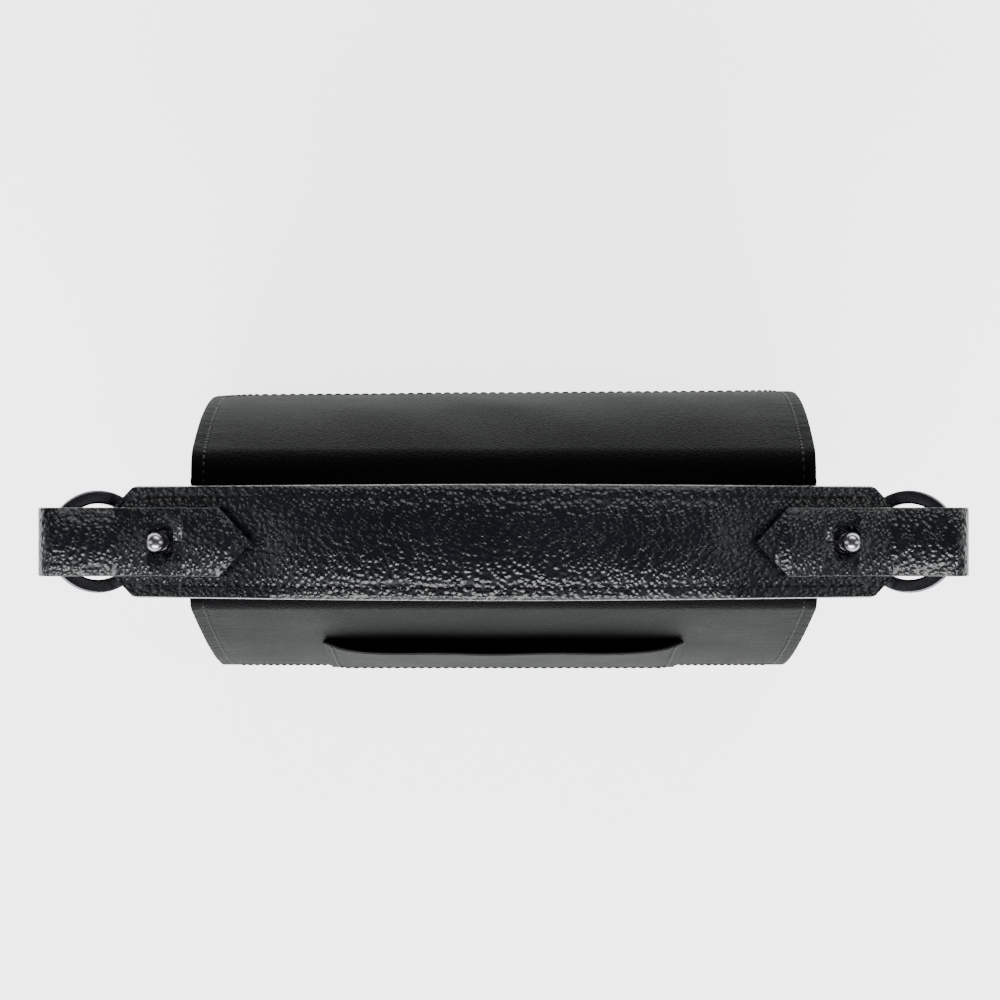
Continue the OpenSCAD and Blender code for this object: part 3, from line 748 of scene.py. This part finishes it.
def keyhole(side):
    """A cutter for the tab: a round hole a little longer than wide, with a slit towards the tip."""
    r, long, slit, half_slit = 3.95 * MM, 1.6 * MM, 3 * MM, 0.28 * MM
    start = math.asin(half_slit / r)
    outline = [(r * math.cos(a), r * math.sin(a)) for a in (
        -math.pi / 2 + math.pi * i / 14 for i in range(15))]
    outline += [(-long - r * math.sin(a), r * math.cos(a)) for a in (
        (math.pi / 2 - start) * i / 12 for i in range(13))]
    outline += [(-long - r - slit, half_slit), (-long - r - slit, -half_slit)]
    outline += [(-long - r * math.sin(a), -r * math.cos(a)) for a in (
        (math.pi / 2 - start) * (12 - i) / 12 for i in range(13))]
    bm = bmesh.new()
    seen = [bm.verts.new((x, y, -1 * MM)) for x, y in outline]
    face = bm.faces.new(seen)
    raised = bmesh.ops.extrude_face_region(bm, geom=[face])["geom"]
    lid = [g for g in raised if isinstance(g, bmesh.types.BMVert)]
    bmesh.ops.translate(bm, vec=(0, 0, 9 * MM), verts=lid)
    slope = math.atan(2 * ARCH_RISE * STUD_X / KNEE_X ** 2)
    turn = Matrix.Translation((STUD_X, HANDLE_Y, under(STUD_X))) @ Matrix.Rotation(slope, 4, "Y")
    raise_up = Matrix.Translation((0, 0, STRAP_T))
    bmesh.ops.transform(bm, matrix=turn @ raise_up, verts=bm.verts)
    if side < 0:
        bmesh.ops.scale(bm, vec=(-1, 1, 1), verts=bm.verts)
    bmesh.ops.remove_doubles(bm, verts=bm.verts, dist=0.001 * MM)
    return finish_mesh(bm, "keyhole_cutter", [edge_paint])


def cut(made, cutter):
    """Takes the cutter's shape out of a piece and throws the cutter away."""
    hole = made.modifiers.new("cut", "BOOLEAN")
    hole.object = cutter
    hole.operation = "DIFFERENCE"
    hole.solver = "EXACT"
    graph = bpy.context.evaluated_depsgraph_get()
    mesh = bpy.data.meshes.new_from_object(made.evaluated_get(graph))
    made.modifiers.clear()
    made.data = mesh
    bpy.data.objects.remove(cutter)


def tab_spots(side, pitch, inset):
    """Places for the tab's stitches: up one edge, round the point and back down the other."""
    half = TAIL_W / 2 - inset
    end = 1 - (inset * 1.55) / tail_line.length
    shoulder = 1 - POINT_SHARE - inset * 0.2 / tail_line.length
    start = 0.47
    corners = [(half, start), (half, shoulder), (0, end), (-half, shoulder), (-half, start)]

    def surface(y, share):
        place, normal = tail_line.at(share)
        lift = normal * (TAIL_T / 2)
        return Vector((side * (place.x + lift.x), HANDLE_Y + y, place.y + lift.y))
    spots = []
    for place, along, _ in sewn(surface, corners, pitch, lift=0):
        spots.append((place + Vector((0, 0, 0.16 * MM)), along, Vector((0, 0, 1))))
    return spots


ball_r, neck_r, ball_h = 3.4 * MM, 1.7 * MM, 4.7 * MM
stud_outline = [(0, 0), (3.1 * MM, 0), (3.1 * MM, 0.35 * MM), (2.9 * MM, 0.5 * MM), (neck_r, 0.6 * MM)]
neck_turn = math.asin(neck_r / ball_r)
stud_outline += [(ball_r * math.sin(a), ball_h - ball_r * math.cos(a)) for a in (
    neck_turn + (math.pi - neck_turn) * i / 20 for i in range(21))]
screw_outline = [(0, -0.05 * MM), (3.2 * MM, -0.05 * MM), (3.35 * MM, -0.3 * MM), (2.9 * MM, -0.75 * MM),
                 (0, -0.9 * MM)]
for side, word in ((-1, "left"), (1, "right")):
    part = "handle_" + word
    half_handle = sweep("handle_strap_" + word, handle_rings(side), [pebbled_leather], sharp=1.2)
    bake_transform(half_handle)
    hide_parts(part + "_face", part + "_backing", part + "_core",
                *(["handle_mid_face", "handle_mid_backing", "handle_mid_core"] if side > 0 else []))
    top = handle_top(side)
    for edge in (-1, 1):
        across = edge * (1 - SEAM_IN / (STRAP_W / 2))
        path = [(0.6 * MM, across), (END_X - CLIP - 1 * MM, across)]
        row = stitches("handle_seam_" + word + ("_front" if edge < 0 else "_back"),
                       sewn(top, path, HANDLE_STITCH, 0.22 * MM))
        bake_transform(row)
    tail = sweep("tail_and_tab_" + word, strap_rings(
        tail_line, tail_section, side, width_at=tail_width, n=170,
        shares=[i / 150 for i in range(140)] + [140 / 150 + i / 450 for i in range(31)]),
        [pebbled_leather], sharp=1.2)
    cut(tail, keyhole(side))
    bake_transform(tail)
    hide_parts("tail_" + word, "tab_" + word)
    sewing = stitches("tab_seam_" + word, tab_spots(side, STITCH, TAB_SEAM_IN))
    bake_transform(sewing)
    slope = math.atan(2 * ARCH_RISE * STUD_X / KNEE_X ** 2)
    up = Vector((math.sin(slope) * side, 0, math.cos(slope)))
    seat = Vector((side * STUD_X, HANDLE_Y, under(STUD_X)))
    turn = Matrix.Rotation(side * slope, 4, "Y")
    attach(lathe("ball_stud_" + word, stud_outline, seat + up * STRAP_T, turn, [stud_nickel_painted_sheen]),
           part, ["stud_" + word])
    attach(lathe("stud_screw_head_" + word, screw_outline, seat, turn, [black_nickel]),
           part, ["stud_screw_" + word])

# ---- frame nodes that show as they are ----
finishes = {"lining": lining_cloth, "inner_pocket": lining_cloth,
            "front_magnet": nickel, "flap_magnet": nickel, "base_board": fibre_board}
for name, node in nodes.items():
    for start, finish in finishes.items():
        if name.startswith(start):
            node.data.materials.clear()
            node.data.materials.append(finish)

# ---- floor, light and camera ----
bm = bmesh.new()
bmesh.ops.create_grid(bm, x_segments=2, y_segments=2, size=6)
floor = finish_mesh(bm, "floor", [])
floor_paint = new_material("matt_pale_floor", {
    "Base Color": linear("#e6e9e8"), "Roughness": 0.95,
    "Emission Color": linear("#eff2f1"), "Emission Strength": 3.3})[0]
floor.data.materials.append(floor_paint)

world = bpy.data.worlds.new("studio")
bpy.context.scene.world = world
world.use_nodes = True
world.node_tree.nodes["Background"].inputs["Color"].default_value = linear("#f3f6f6")
world.node_tree.nodes["Background"].inputs["Strength"].default_value = 0.14


def soft_box(name, place, target, size, power):
    lamp = bpy.data.lights.new(name, "AREA")
    lamp.shape = "RECTANGLE"
    lamp.size, lamp.size_y = size
    lamp.energy = power
    made = bpy.data.objects.new(name, lamp)
    bpy.context.scene.collection.objects.link(made)
    made.location = place
    made.rotation_euler = (Vector(target) - Vector(place)).to_track_quat("-Z", "Y").to_euler()
    return made


soft_box("key", (0.1, 1.3, 1.05), (0, 0, 0.1), (1.5, 0.6), 55)
soft_box("fill", (-0.3, -1.35, 1.1), (0, 0, 0.1), (1.5, 0.6), 16)
soft_box("left", (-1.5, 0.1, 0.95), (0, 0, 0.1), (0.6, 1.2), 7)
soft_box("right", (1.5, 0.1, 0.95), (0, 0, 0.1), (0.6, 1.2), 7)

lens = bpy.data.cameras.new("camera")
lens.lens = 122.5
lens.sensor_width = 36
lens.clip_end = 20
camera = bpy.data.objects.new("camera", lens)
camera.location = (1.2 * MM, -11 * MM, 1300 * MM)
camera.rotation_euler = (0, 0, math.pi)
bpy.context.scene.collection.objects.link(camera)
bpy.context.scene.camera = camera
